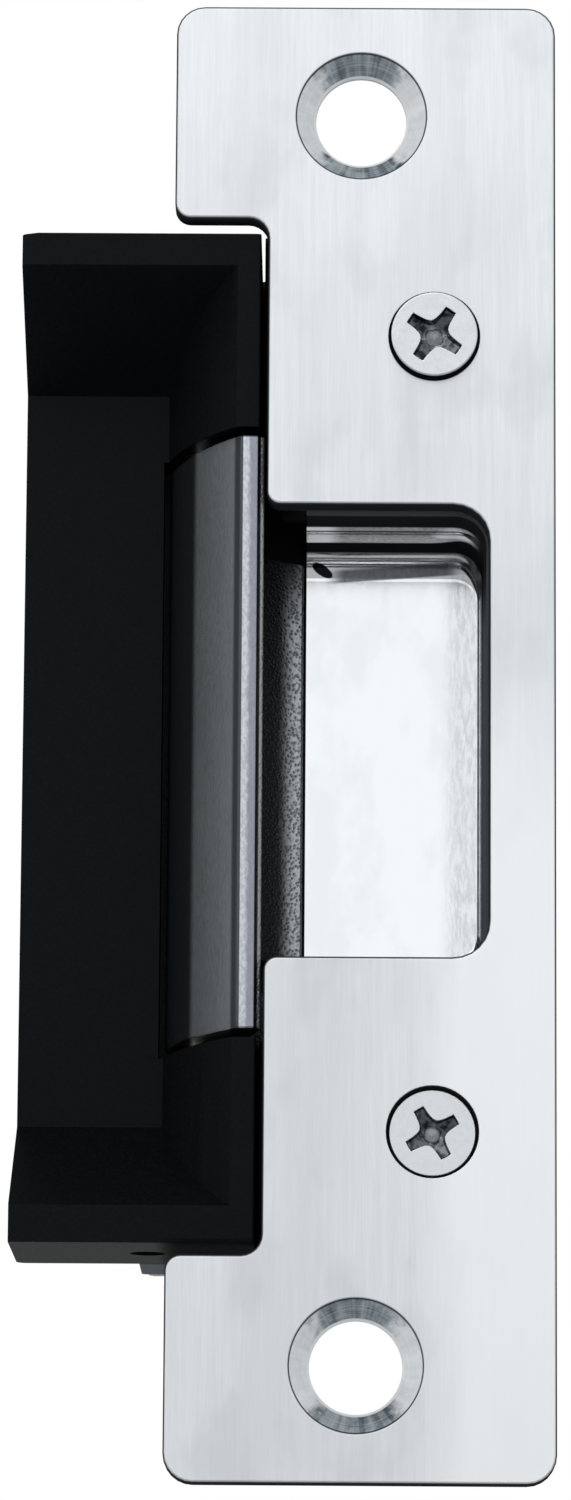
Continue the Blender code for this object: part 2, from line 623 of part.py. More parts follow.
def plunger_return_spring():
    """Compression spring between the yoke and the plunger's collar."""
    low, high = YOKE[1] + 0.1, LINK_Z - 1.2 - COLLAR_T - 0.1
    spring = coil_spring("plunger_return_spring", (SOLENOID_X, SOLENOID_Y), 3.05, 0.22, low, high, 3)
    return paint(spring, *SPRING_STEEL)


def locking_lever():
    """Seesaw bar: a nose that blocks the keeper's heel and a fork on the plunger's pin."""
    outline = rounded([(-6.4, -1.2, 0.3), (-2.2, -1.9, 1.0), (4.9, -1.9, 0.3),
                       (4.9, -0.95, 0), (2.4, -0.95, 0), (2.4, 0.95, 0), (4.9, 0.95, 0),
                       (4.9, 1.9, 0.3), (-1.6, 1.9, 0.8), (-2.8, 1.2, 0.8), (-6.4, 1.2, 0.3)], 3)
    turn = Matrix.Rotation(TILT, 2)
    points = []
    for a, b in outline:
        x, z = turn @ Vector((a, b))
        points.append((LEVER_X + x, LEVER_Z + z))
    lever = prism("locking_lever", points, "Y", *LEVER_Y)
    cut(lever, rod("bore", (LEVER_X, LEVER_Z), "Y", 1.1, LEVER_Y[0] - 1, LEVER_Y[1] + 1))
    return paint(lever, *STEEL)


def lever_pivot():
    """Fixed pin for the lever and the clip that keeps the lever on it."""
    centre = (LEVER_X, LEVER_Z)
    pin = rod("lever_pivot_pin", centre, "Y", 1.0, CASE_FRONT + WALL + 0.8, LEVER_Y[1] + 1.5)
    clip = tube("lever_clip", centre, "Y", 1.05, 1.9, LEVER_Y[1] + 0.3, LEVER_Y[1] + 0.8)
    return [paint(pin, *PLATED), paint(clip, *SPRING_STEEL)]


def terminal_block():
    """Two-way block: screw wells on top and wire mouths at the side."""
    block = box("terminal_block", TERMINAL_X, TERMINAL_Y, TERMINAL_Z)
    for x in WELLS:
        cut(block, rod("well", (x, WELL_Z), "Y", 1.9, TERMINAL_Y[1] - 3.2, TERMINAL_Y[1] + 1, 24))
        cut(block, box("mouth", (x - 1.2, x + 1.2), (12.2, 15.0), (TERMINAL_Z[0] - 1, 30)))
    return paint(block, *GREEN)


def terminal_screws():
    """Slotted clamp screws in the terminal block's wells."""
    for number, x in enumerate(WELLS, 1):
        low, high = TERMINAL_Y[1] - 2.9, TERMINAL_Y[1] - 1.3
        profile = [(1.6, low), (1.6, high - 0.2), (1.4, high)]
        screw = lathe(f"terminal_screw_{number}", profile, (x, WELL_Z), "Y", 24)
        cut(screw, box("slot", (x - 2, x + 2), (high - 0.6, high + 1), (WELL_Z - 0.3, WELL_Z + 0.3)))
        paint(screw, *PLATED)


def coil_leads():
    """The coil's two wires, run behind the latch pocket to the terminal block."""
    for number, x, end in ((1, -1.0, WELLS[0]), (2, 1.0, WELLS[1])):
        path = [(x, 23.9, -31.6), (x, 23.8, -27), (x, 23.7, -10), (x, 23.7, 10), (x, 23.6, 19),
                (x, 22.8, 22.2), (end, 19.0, 23.8), (end, 15.2, 24.2), (end, 13.7, 25.2), (end, 13.6, 28.5)]
        paint(sweep(f"coil_lead_{number}", smooth(path), WIRE_R, 6), *LEAD_RED)


def set_origin(item, x, y, z):
    """Move an object's origin to a point on its joint axis without moving its mesh."""
    target = place(x, y, z)
    item.data.transform(Matrix.Translation(-target))
    item.location = target


def build():
    for item in list(bpy.data.objects):
        bpy.data.objects.remove(item)
    faceplate()
    face_screws()
    lip_frame()
    lip_screws()
    case_body()
    back_cover()
    back_cover_screws()
    cable_grommet()
    latch_pocket()
    bar = keeper()
    keeper_pin()
    keeper_bushes()
    keeper_return_spring()
    solenoid_frame()
    solenoid_screws()
    solenoid_winding()
    core = plunger()
    link = plunger_link_pin()
    plunger_return_spring()
    lever = locking_lever()
    lever_pivot()
    terminal_block()
    terminal_screws()
    coil_leads()
    set_origin(bar, PIVOT_X, PIVOT_Y, 0)
    set_origin(lever, LEVER_X, LEVER_Y[0], LEVER_Z)
    for item in (core, link):
        set_origin(item, SOLENOID_X, SOLENOID_Y, LINK_Z)


build()
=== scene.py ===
"""Looks of the electric door strike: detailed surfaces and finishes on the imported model."""

import math

import bmesh
import bpy
import numpy as np
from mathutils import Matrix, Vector


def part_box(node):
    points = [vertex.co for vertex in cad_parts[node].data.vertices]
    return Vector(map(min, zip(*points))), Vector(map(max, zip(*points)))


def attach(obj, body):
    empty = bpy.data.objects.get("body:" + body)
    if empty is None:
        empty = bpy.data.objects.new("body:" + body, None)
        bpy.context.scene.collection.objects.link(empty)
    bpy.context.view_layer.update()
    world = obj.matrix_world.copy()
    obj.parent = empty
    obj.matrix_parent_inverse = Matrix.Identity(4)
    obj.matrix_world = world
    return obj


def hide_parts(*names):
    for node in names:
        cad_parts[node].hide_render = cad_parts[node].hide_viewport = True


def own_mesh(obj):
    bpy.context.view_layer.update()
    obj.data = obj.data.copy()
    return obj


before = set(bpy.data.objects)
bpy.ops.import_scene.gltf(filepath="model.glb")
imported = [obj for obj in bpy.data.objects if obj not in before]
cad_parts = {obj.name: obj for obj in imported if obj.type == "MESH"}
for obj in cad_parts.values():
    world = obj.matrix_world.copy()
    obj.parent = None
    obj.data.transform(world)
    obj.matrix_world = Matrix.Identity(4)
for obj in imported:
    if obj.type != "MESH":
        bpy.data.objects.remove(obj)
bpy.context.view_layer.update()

MM = 0.001
BODY = "strike_body"

# Plate: its thickness and its two countersunk screw holes.
PLATE_BACK = 2.4
FIX_X, FIX_Z = -0.35, 52.4
SINK_R, FIX_R = 5.55, 3.8

# Ends of the lip frame and the case, and where their underside falls into shade.
END_Z = 42.5
SHADE_LEFT, SHADE_RIGHT = -17.0, -14.5

# Keeper: depth of its ground land, and the lines along which its colour changes, among them where painted
# shade darkens the ramp's back and where the ledge's painted highlight starts.
LAND_Y = 0.3
RAMP_SHADE = -14.1
RIDGE_LEFT, LAND_LEFT, LAND_RIGHT, LEDGE_LEFT = -10.88, -10.07, -8.90, -8.62

# Latch pocket: its walls, the roll along its end walls and the round into its floor.
POCKET_LEFT, POCKET_RIGHT = -4.75, 10.25
POCKET_HALF = 18.7
POCKET_SHELL = 0.95
POCKET_FLOOR = 17.0
ROLL_TOP, ROLL_BOTTOM = 6.84, 9.9
ROUND_TOP, ROUND_INSET, ROUND_WIDTH = 14.4, 0.5, 2.1
POCKET_CORNER = 2.6
SPOT_X, SPOT_Z = -3.4, 17.0


def corners(node):
    """Lowest and highest corner of a CAD node, as arrays in millimetres."""
    low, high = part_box(node)
    return np.array(low) / MM, np.array(high) / MM


PLATE_LOW, PLATE_HIGH = corners("faceplate")
# Middle of the faceplate's front face: the sizes below are millimetres from here.
ZERO = np.array([(PLATE_LOW[0] + PLATE_HIGH[0]) / 2, PLATE_LOW[1], 0.0])


# ---------------------------------------------------------------- shader expressions


class Value:
    """A number, colour or vector that flows through a node tree, usable in expressions."""

    def __init__(self, tree, socket):
        self.tree = tree
        self.socket = socket

    def maths(self, operation, *others):
        """This value and the others through one Math node."""
        return self.tree.add("ShaderNodeMath", {"operation": operation}, [self, *others]).out()

    def __add__(self, other):
        return self.maths("ADD", other)

    def __sub__(self, other):
        return self.maths("SUBTRACT", other)

    def __mul__(self, other):
        return self.maths("MULTIPLY", other)

    def __truediv__(self, other):
        return self.maths("DIVIDE", other)

    def __pow__(self, other):
        return self.maths("POWER", other)

    def __rsub__(self, other):
        return self.tree.add("ShaderNodeMath", {"operation": "SUBTRACT"}, [other, self]).out()

    __radd__ = __add__
    __rmul__ = __mul__

    def __abs__(self):
        return self.maths("ABSOLUTE")


class Added:
    """A node just added, whose outputs become Values."""

    def __init__(self, tree, node):
        self.tree = tree
        self.node = node

    def out(self, name=0):
        """One output, by its name or its number."""
        return Value(self.tree, self.node.outputs[name])


class Nodes:
    """A node tree, with the one method that adds nodes to it."""

    def __init__(self, tree):
        self.tree = tree

    def put(self, socket, value):
        """Link a Value to a socket, or set the socket to a plain number or colour."""
        if isinstance(value, Value):
            self.tree.links.new(value.socket, socket)
        else:
            socket.default_value = value

    def add(self, kind, settings, inputs):
        """Node of a type: its settings first, then the values or links of its sockets."""
        node = self.tree.nodes.new(kind)
        for key, value in settings.items():
            setattr(node, key, value)
        pairs = inputs.items() if isinstance(inputs, dict) else enumerate(inputs)
        for key, value in pairs:
            self.put(node.inputs[key], value)
        return Added(self, node)

    def vector(self, operation, *inputs):
        """Inputs through one Vector Math node."""
        return self.add("ShaderNodeVectorMath", {"operation": operation}, inputs).out()

    def parts(self, vector):
        """The three numbers of a vector."""
        split = self.add("ShaderNodeSeparateXYZ", {}, [vector])
        return [split.out(axis) for axis in "XYZ"]

    def mix(self, amount, low, high):
        """Colour from low to high by amount."""
        low = (*low, 1.0) if isinstance(low, tuple) else low
        high = (*high, 1.0) if isinstance(high, tuple) else high
        inputs = {"Factor": amount, 6: low, 7: high}
        return self.add("ShaderNodeMix", {"data_type": "RGBA"}, inputs).out(2)


class Finish(Nodes):
    """Material with positions in millimetres from the middle of the faceplate's front."""

    def __init__(self, name, color, roughness, metallic, **constants):
        self.material = bpy.data.materials.new(name)
        self.material.use_nodes = True
        super().__init__(self.material.node_tree)
        self.surface = self.tree.nodes["Principled BSDF"]
        self.put(self.surface.inputs["Base Color"], (*color, 1.0))
        self.put(self.surface.inputs["Roughness"], roughness)
        self.put(self.surface.inputs["Metallic"], metallic)
        for socket, value in constants.items():
            self.put(self.surface.inputs[socket.replace("_", " ")], value)
        here = self.add("ShaderNodeTexCoord", {}, {}).out("Object")
        here = self.vector("MULTIPLY", here, (1 / MM, 1 / MM, 1 / MM))
        self.place = self.vector("SUBTRACT", here, tuple(ZERO))
        self.x, self.y, self.z = self.parts(self.place)

    def at(self, *stretch):
        """Place on the piece, stretched along each axis."""
        return self.vector("MULTIPLY", self.place, stretch)

    def noise(self, stretch, detail=3.0, rough=0.55):
        """Cloudy pattern of 0 to 1, with stretch cycles per millimetre along each axis."""
        inputs = {"Vector": self.at(*stretch), "Scale": 1.0, "Detail": detail, "Roughness": rough}
        return self.add("ShaderNodeTexNoise", {}, inputs).out("Fac")

    def cells(self, per_mm):
        """Distance to the nearest of some scattered points, per_mm of them to a millimetre."""
        inputs = {"Vector": self.at(per_mm, per_mm, per_mm), "Scale": 1.0}
        return self.add("ShaderNodeTexVoronoi", {}, inputs).out("Distance")

    def value_mix(self, amount, low, high):
        """Number from low to high by amount."""
        return low * (1 - amount) + high * amount

    def set(self, **looks):
        """Drive base_color, roughness or metallic by a value."""
        for name, value in looks.items():
            self.put(self.surface.inputs[name.replace("_", " ").title()], value)

    def bump(self, height, depth, strength=1.0):
        """Relief from a height of 0 to 1 that stands for depth millimetres."""
        inputs = {"Height": height, "Distance": depth * MM, "Strength": strength}
        self.put(self.surface.inputs["Normal"], self.add("ShaderNodeBump", {}, inputs).out())


def ramp(value, low, high):
    """0 to 1 as a value goes from low to high, held outside."""
    settings = {"interpolation_type": "SMOOTHSTEP"}
    inputs = {"Value": value, "From Min": low, "From Max": high}
    return value.tree.add("ShaderNodeMapRange", settings, inputs).out()


# ---------------------------------------------------------------- finishes


def turned_countersink(s):
    """How far a point is in a countersink, its rings and blotches, and its colour there.

    The cone is painted bright beside the hole and darker above and below it, as painted light and
    shade, in streaks that run in towards the hole, with a dark line round its rim and a bright one
    round the hole.
    """
    across = s.x - FIX_X
    out = (across * across + (abs(s.z) - FIX_Z) ** 2.0) ** 0.5
    cone = ramp(out, SINK_R + 0.03, SINK_R - 0.10)
    rings = s.add("ShaderNodeTexNoise", {"noise_dimensions": "1D"}, {"W": out * 9.0, "Scale": 1.0})
    rings = rings.out("Fac")
    blotch = s.noise((0.9, 0.9, 0.9), 3.0)
    upward = s.z - s.z / abs(s.z) * FIX_Z
    spoke = s.add("ShaderNodeCombineXYZ", {}, [across, 0.0, upward]).out()
    spoke = {"Vector": s.vector("NORMALIZE", spoke), "Scale": 3.2, "Detail": 5.0, "Roughness": 0.7}
    spoke = s.add("ShaderNodeTexNoise", {}, spoke).out("Fac")
    streaky = ramp(rings * 0.15 + blotch * 0.25 + spoke * 0.6, 0.38, 0.60)
    # Painted light and shade: the cone is brighter beside the hole and darker above and below it.
    beside = ramp(abs(across) / out + (blotch - 0.5) * 0.5, 0.55, 0.80)
    dark = s.mix(streaky, (0.10, 0.13, 0.15), (0.48, 0.53, 0.57))
    turned = s.mix(beside, dark, s.mix(streaky, (0.80, 0.82, 0.84), (0.97, 0.98, 0.99)))
    turned = s.mix(ramp(out, FIX_R + 0.24, FIX_R + 0.16), turned, (0.95, 0.96, 0.97))
    turned = s.mix(ramp(abs(out - SINK_R + 0.08), 0.10, 0.04), turned, (0.03, 0.04, 0.05))
    return cone, rings, blotch, turned


def brushed_steel():
    """Stainless sheet brushed along its length, with its sheared edges darkened as painted shade, and
    turned countersinks with painted light.
    """
    s = Finish("brushed_stainless", (0.72, 0.735, 0.75), 0.34, 1.0, Specular_IOR_Level=0.0)
    streaks = s.noise((1.8, 1.8, 0.06), 4.0, 0.7)
    fine = s.noise((8.0, 8.0, 0.25), 3.0, 0.65)
    cloud = s.noise((0.09, 0.09, 0.03), 3.0)
    patch = s.noise((0.16, 0.16, 0.09), 3.0)
    tone = streaks * 0.6 + fine * 0.4
    base = s.mix(ramp(tone, 0.25, 0.75), (0.70, 0.72, 0.74), (0.82, 0.835, 0.85))
    base = s.mix(ramp(cloud, 0.40, 0.65) * 0.35, base, (0.60, 0.63, 0.66))
    base = s.mix(ramp(patch, 0.50, 0.66) * 0.30, base, (0.54, 0.575, 0.60))
    # Lighter towards the right edge, more so lower down, with a cloudy boundary.
    right_side_tone = ramp(s.x + cloud * 14, 10.0, 16.0) * ramp(s.z, 14.0, -14.0)
    base = s.mix(right_side_tone * 0.8, base, (0.93, 0.94, 0.95))
    cone, rings, blotch, turned = turned_countersink(s)
    base = s.mix(cone, base, turned)
    # Painted shade: the sheared side faces are coloured near-black.
    edge = ramp(s.y, 0.04, 0.12) * ramp(s.y, PLATE_BACK - 0.03, PLATE_BACK - 0.10) * (1 - cone)
    s.set(base_color=s.mix(edge, base, (0.03, 0.033, 0.036)), metallic=1 - edge - cone * 0.8)
    s.set(roughness=s.value_mix(cone, 0.28 + tone * 0.14, 0.15 + blotch * 0.05))
    s.bump(tone * (1 - cone) + rings * cone, 0.012)
    return s.material


def black_paint():
    """Satin black paint over a die casting, with a fine orange-peel grain."""
    s = Finish("black_paint", (0.003, 0.0035, 0.004), 0.48, 0.0, Specular_IOR_Level=0.07)
    peel = s.noise((3.2, 3.2, 3.2), 3.0)
    speck = s.noise((14.0, 14.0, 14.0), 2.0)
    s.set(base_color=s.mix(ramp(peel, 0.3, 0.7), (0.0022, 0.0028, 0.0036), (0.004, 0.0048, 0.0058)))
    shade = ramp(s.z, 0.5 - END_Z, 0.2 - END_Z) * ramp(s.x, SHADE_LEFT, SHADE_RIGHT)
    s.set(roughness=s.value_mix(shade, 0.34 + peel * 0.16, 1.0))
    s.bump(peel * 0.7 + speck * 0.3, 0.02)
    return s.material


def case_coating():
    """Thinly painted black casting of the case; the left strip of its two ends is greyer as a painted
    reflection of the floor, the rest black as painted shade.
    """
    s = Finish("case_coating", (0.004, 0.0045, 0.005), 0.45, 0.0, Specular_IOR_Level=0.15)
    tone = s.noise((1.5, 1.5, 1.5), 4.0)
    black = s.mix(tone, (0.003, 0.0035, 0.0042), (0.006, 0.007, 0.008))
    # Painted reflection: the ends are grey at their left strip; further right they stay black as painted
    # shade.
    grey = s.mix(tone, (0.06, 0.075, 0.095), (0.10, 0.12, 0.145))
    grey = s.mix(ramp(s.x, SHADE_LEFT, SHADE_RIGHT - 1.0), grey, (0.004, 0.0045, 0.005))
    s.set(base_color=s.mix(ramp(abs(s.z), END_Z - 0.4, END_Z - 0.15), black, grey))
    s.set(roughness=0.38 + tone * 0.16)
    s.bump(s.noise((5.0, 5.0, 5.0), 3.0), 0.03)
    return s.material


def keeper_outside(s, grain, cloud, speck):
    """Colour of the keeper's ramp, dark at its back, and of the land ground along its ridge."""
    satin = s.mix(grain * 0.6 + cloud * 0.4, (0.21, 0.225, 0.235), (0.35, 0.37, 0.38))
    deep = ramp(s.x, RAMP_SHADE + 0.25, RAMP_SHADE - 0.25)
    satin = s.mix(deep, satin, (0.035, 0.04, 0.045))
    satin = s.mix(ramp(s.x, RIDGE_LEFT, RIDGE_LEFT + 0.28), satin, (0.075, 0.085, 0.09))
    worn = ramp(s.x + grain * 0.5, -9.45, -9.05)
    ground = s.mix(worn, (0.66, 0.68, 0.72), (0.33, 0.345, 0.40))
    ground = s.mix(ramp(speck, 0.60, 0.40) * 0.35, ground, (0.24, 0.25, 0.29))
    ground = s.mix(ramp(s.x, LAND_LEFT + 0.07, LAND_LEFT), ground, (0.085, 0.095, 0.105))
    land = ramp(s.y, LAND_Y + 0.16, LAND_Y + 0.08)
    return s.mix(land, satin, ground)


def keeper_inside(s, cloud, speck, pits):
    """Colour of the keeper's cradle: black below the ridge as painted shade and up in the cradle as
    painted shadow, pitted towards the foot where it is lit, with a painted highlight along the ledge.
    """
    # Painted shadow: the cradle stays black except a lit part towards the foot, narrower near its upper
    # end.
    drift = s.x + cloud * 0.9 + speck * 0.5
    high, low = ramp(drift, -5.2, -3.9), ramp(drift, -6.5, -4.6)
    lit_cradle = s.value_mix(ramp(s.z, 11.0, 18.0), low, high)
    speckle = ramp(pits * 0.6 + speck * 0.8, 0.50, 0.85)
    pitted = s.mix(speckle, (0.24, 0.255, 0.27), (0.60, 0.62, 0.64))
    cradle = s.mix(lit_cradle, (0.05, 0.053, 0.056), pitted)
    # Painted highlight: a lighter line along the ledge.
    ledge = ramp(s.x, LEDGE_LEFT, LEDGE_LEFT + 0.10) * ramp(s.y, 1.25, 1.0)
    inside = s.mix(ledge, cradle, (0.34, 0.36, 0.35))
    # Painted shade: near-black on the inside just behind the ridge, except on the ledge.
    return s.mix(ramp(s.y, 2.5, 0.9) * (1 - ledge), inside, (0.03, 0.032, 0.036))


def cast_metal():
    """Keeper casting: satin ramp, ground ridge, and a pitted cradle inside."""
    s = Finish("keeper_metal", (0.20, 0.215, 0.225), 0.42, 1.0)
    grain = s.noise((4.0, 4.0, 1.5), 3.0)
    cloud = s.noise((0.5, 0.5, 0.12), 3.0)
    speck = s.noise((4.5, 4.5, 2.5), 4.0, 0.7)
    pits = s.cells(3.6)
    step = ramp(s.x, LAND_RIGHT, LAND_RIGHT + 0.10)
    outside, inside = keeper_outside(s, grain, cloud, speck), keeper_inside(s, cloud, speck, pits)
    s.set(base_color=s.mix(step, outside, inside))
    s.set(roughness=0.40 + grain * 0.16)
    s.bump(s.value_mix(step, speck * 0.6 + grain * 0.4, ramp(pits, 0.1, 0.6)), 0.03)
    return s.material


def pocket_walls(s, scuff):
    """How far a point is on the roll of an end wall, and the walls' colour.

    The walls are painted nearly black, for shade and dark reflections, between the rim's painted
    highlight and the silvery roll, which narrows to the right and has a painted glint at its left
    end and an oval one near its right end; low on the right wall is a lighter painted reflection.
    """
    narrow = ramp(s.x, 5.5, 9.8) * 1.4
    roll = ramp(s.y, ROLL_TOP, ROLL_TOP + 0.06) * ramp(s.y + narrow, ROLL_BOTTOM, ROLL_BOTTOM - 0.5)
    roll = roll * ramp(s.x, 9.9, 8.8)
    oval = ((s.x - 7.5) / 2.0) ** 2.0 + ((s.y - 7.6) / 0.8) ** 2.0
    glint = ramp(oval, 1.0, 0.2) + ramp(s.x, -1.6, -3.1)
    silver = s.mix(ramp(scuff, 0.3, 0.7), (0.26, 0.27, 0.28), (0.50, 0.51, 0.52))
    silver = s.mix(glint, silver, (0.95, 0.96, 0.98))
    # Painted highlight: a lighter line along the rim; past it the walls are painted near-black for shade
    # and dark reflections.
    rim = s.mix(ramp(s.y, 3.5, 3.0), (0.030, 0.032, 0.034), (0.09, 0.093, 0.10))
    wall = s.mix(ramp(s.y, 7.6, 6.9), (0.020, 0.022, 0.024), rim)
    # Painted reflection: lighter low on the right wall.
    right = ramp(s.x, 9.85, 10.05) * ramp(s.z, 15.0, 9.0) * ramp(s.y, 3.2, 4.0)
    wall = s.mix(right, wall, (0.12, 0.14, 0.165))
    return roll, s.mix(roll, wall, silver)


def pocket_bottom(s, scuff):
    """How far a point is in the dull band across the floor's top, and the floor's colour.

    The floor is bright and faintly hazy, darker along its right side in a scuffed pattern, and has
    one slanting black spot near its upper left corner.
    """
    # Darker towards the right side, varied by the scuff pattern.
    right_side_tone = ramp(s.x, 6.4, 8.4) * (0.35 + ramp(scuff, 0.40, 0.60) * 0.5)
    shine = s.mix(right_side_tone, (0.94, 0.95, 0.965), (0.60, 0.62, 0.64))
    haze = ramp(s.noise((0.22, 0.22, 0.12), 3.0), 0.46, 0.66)
    shine = s.mix(haze * 0.35, shine, (0.76, 0.775, 0.785))
    level = s.z - s.x * 0.07
    band = ramp(level, 16.05, 16.25) * ramp(level, 17.45, 17.0)
    band = band * ramp(s.x, -3.4, -1.4) * ramp(s.x, 9.2, 7.0)
    shine = s.mix(band, shine, s.mix(scuff, (0.11, 0.12, 0.13), (0.26, 0.27, 0.285)))
    right, up = s.x - SPOT_X, s.z - SPOT_Z
    across, down = right * 0.86 - up * 0.5, up * 0.86 + right * 0.5
    spot = ramp((across ** 2.0) * 0.9 + (down ** 2.0) * 5.0 + scuff * 0.3, 1.15, 0.85)
    return band, s.mix(spot, shine, (0.012, 0.013, 0.016))


def pocket_plating():
    """Bright plating worn by the latch, mirror-like on the roll and floor; its end walls are painted dark
    for shade and dark reflections, and the floor's right-hand corners as painted shade.
    """
    s = Finish("pocket_plating", (0.93, 0.945, 0.96), 0.08, 1.0, Specular_IOR_Level=0.0)
    buff = s.noise((0.9, 0.9, 0.4), 3.0)
    scuff = s.noise((3.0, 3.0, 0.6), 4.0, 0.7)
    roll, wall = pocket_walls(s, scuff)
    band, shine = pocket_bottom(s, scuff)
    # Painted shade: the floor's right-hand corners keep the walls' near-black colour.
    corner = ramp(s.x, 9.2, 9.9) * ramp(abs(s.z), 15.8, 17.0)
    floor = ramp(s.y, ROUND_TOP + 0.2, ROUND_TOP + 0.8) * (1 - corner)
    s.set(base_color=s.mix(floor, wall, shine), metallic=s.value_mix(floor, roll, 1.0))
    s.set(roughness=0.08 + buff * 0.10 + band * 0.15)
    s.bump(buff * 0.6 + scuff * 0.4, 0.01)
    return s.material


def polished():
    """Bright nickel plating over a buffed surface."""
    s = Finish("bright_plating", (0.90, 0.915, 0.93), 0.10, 1.0)
    buff = s.noise((1.2, 1.2, 0.5), 3.0)
    s.set(roughness=0.06 + buff * 0.10)
    s.bump(buff, 0.02)
    return s.material


def plated_screw():
    """Zinc-plated screw, bright on its face, with painted shade in its recess and down its sides, lighter
    again deep in the recess as painted light.
    """
    s = Finish("screw_plating", (0.62, 0.635, 0.65), 0.26, 1.0)
    tone = s.noise((1.6, 1.6, 1.6), 3.0)
    fine = s.noise((9.0, 9.0, 9.0), 2.0)
    face = s.mix(tone, (0.62, 0.64, 0.66), (0.76, 0.775, 0.79))
    under = s.add("ShaderNodeAttribute", {"attribute_name": "sunk"}, {}).out("Fac")
    # Painted shade: darker with depth below the head's face, in a patchy tone.
    recess_shade = s.mix(ramp(tone, 0.38, 0.62), (0.022, 0.026, 0.03), (0.15, 0.16, 0.17))
    # Painted light: the deepest middle of the recess is lighter again.
    recess_shade = s.mix(ramp(under, 1.12, 1.5) * 0.9, recess_shade, (0.66, 0.68, 0.70))
    s.set(base_color=s.mix(ramp(under, 0.04, 0.2), face, recess_shade))
    s.set(roughness=0.18 + tone * 0.16)
    s.bump(fine, 0.006)
    return s.material


def plain_metal(name, low, high, roughness):
    """Turned or pressed metal whose tone and gloss vary a little."""
    s = Finish(name, low, roughness, 1.0)
    tone = s.noise((4.0, 4.0, 4.0), 3.0)
    s.set(base_color=s.mix(tone, low, high))
    s.set(roughness=roughness - 0.06 + tone * 0.12)
    s.bump(s.noise((12.0, 12.0, 12.0), 2.0), 0.006)
    return s.material


def plain_plastic(name, low, high, roughness):
    """Moulded plastic, rubber or lacquer with a faint texture."""
    s = Finish(name, low, roughness, 0.0)
    tone = s.noise((2.5, 2.5, 2.5), 3.0)
    s.set(base_color=s.mix(tone, low, high))
    s.set(roughness=roughness - 0.05 + tone * 0.10)
    s.bump(s.noise((10.0, 10.0, 10.0), 2.0), 0.01)
    return s.material


# ---------------------------------------------------------------- surfaces


def surface(name, rows, material, body=BODY, hides=(), ring=True, angle=30, **marks):
    """Smooth surface through rows of points (rows, points, xyz), in millimetres from ZERO.

    Each row joins the next one; ring closes every row on itself. Points that meet are merged,
    so a row shrunk to a point or a line closes the surface. Marks are values kept at each point.
    """
    count, length = rows.shape[:2]
    index = np.arange(count * length).reshape(count, length)
    if ring:
        index = np.hstack([index, index[:, :1]])
    quads = np.stack([index[:-1, :-1], index[:-1, 1:], index[1:, 1:], index[1:, :-1]], -1).reshape(-1, 4)
    points = (rows.reshape(-1, 3) + ZERO) * MM
    mesh = bpy.data.meshes.new(name)
    mesh.from_pydata(points, [], quads)
    for mark, values in marks.items():
        layer = mesh.attributes.new(mark, "FLOAT", "POINT")
        layer.data.foreach_set("value", values.astype(np.float32).ravel())
    return finished(name, mesh, material, body, hides, angle)


def finished(name, mesh, material, body, hides, angle):
    """Object of a mesh: merged, facing outward, smooth, and riding on its body."""
    bm = bmesh.new()
    bm.from_mesh(mesh)
    bmesh.ops.remove_doubles(bm, verts=bm.verts, dist=1e-7)
    bmesh.ops.dissolve_degenerate(bm, edges=bm.edges, dist=1e-7)
    bmesh.ops.recalc_face_normals(bm, faces=bm.faces)
    bm.to_mesh(mesh)
    bm.free()
    mesh.materials.append(material)
    mesh.shade_smooth()
    mesh.set_sharp_from_angle(angle=math.radians(angle))
    piece = bpy.data.objects.new(name, mesh)
    bpy.context.scene.collection.objects.link(piece)
    for node in hides:
        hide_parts(node)
    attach(piece, body)
    return piece


def soft_step(value, low, high):
    """0 below low, 1 above high, easing between them."""
    part = np.clip((value - low) / (high - low), 0, 1)
    return part * part * (3 - 2 * part)


def along(points, step):
    """Points added on each straight stretch so that none is longer than step."""
    points = np.array(points, float)
    parts = [points[:1]]
    for start, end in zip(points[:-1], points[1:]):
        count = max(1, int(np.ceil(np.linalg.norm(end - start) / step)))
        parts.append(start + (end - start) * np.linspace(0, 1, count + 1)[1:, None])
    return np.vstack(parts)


def eased(points, radius, arc=5):
    """Corners of an open line of points rounded with a radius, or half the shorter side."""
    points = np.array(points, float)
    parts = [points[:1]]
    for before, corner, after in zip(points[:-2], points[1:-1], points[2:]):
        back, ahead = before - corner, after - corner
        reach = min(radius, 0.45 * np.linalg.norm(back), 0.45 * np.linalg.norm(ahead))
        start = corner + back / np.linalg.norm(back) * reach
        end = corner + ahead / np.linalg.norm(ahead) * reach
        part = np.linspace(0, 1, arc)[:, None]
        parts.append((1 - part) ** 2 * start + 2 * part * (1 - part) * corner + part ** 2 * end)
    parts.append(points[-1:])
    return np.vstack(parts)


# ---------------------------------------------------------------- detailed pieces

# Cross recess of a head 3.5 mm in radius: length and half width of an arm, the hollow between
# arms, and the width of its walls.
RECESS_REACH = 2.42
RECESS_ARM = 0.40
RECESS_FILLET = 0.176
RECESS_WALL = 0.12
# Screw: radius, rim and edge of a full-size head, the angle of its cone, and its thread.
HEAD_R, HEAD_RIM, HEAD_EDGE = 3.5, 0.25, 0.12
CONE_ANGLE = math.radians(49)
THREAD_PITCH, THREAD_DEPTH, THREAD_ROWS = 0.8, 0.16, 70


def cross_recess(r, theta, turn, scale):
    """Depth of a cross recess: four arms with hollow corners, deepest in the middle.

    With u and v along the arms, l the larger and t the smaller of them, a point is inside
    where (t - arm)(l - arm) is less than the fillet number and l is less than the reach.
    """
    u = np.abs(r * np.cos(theta - turn)) / scale
    v = np.abs(r * np.sin(theta - turn)) / scale
    far, near = np.maximum(u, v), np.minimum(u, v)
    slope = np.hypot(far - RECESS_ARM, near - RECESS_ARM) + 1e-6
    side = (RECESS_FILLET - (near - RECESS_ARM) * (far - RECESS_ARM)) / slope
    side = np.where(near < RECESS_ARM, np.maximum(side, RECESS_ARM - near + 0.05), side)
    inside = np.minimum(side, RECESS_REACH - far)
    floor = np.maximum(1.55 - 0.42 * far, 2.1 - 1.1 * np.hypot(u, v))
    return floor * soft_step(inside, 0, RECESS_WALL) * scale


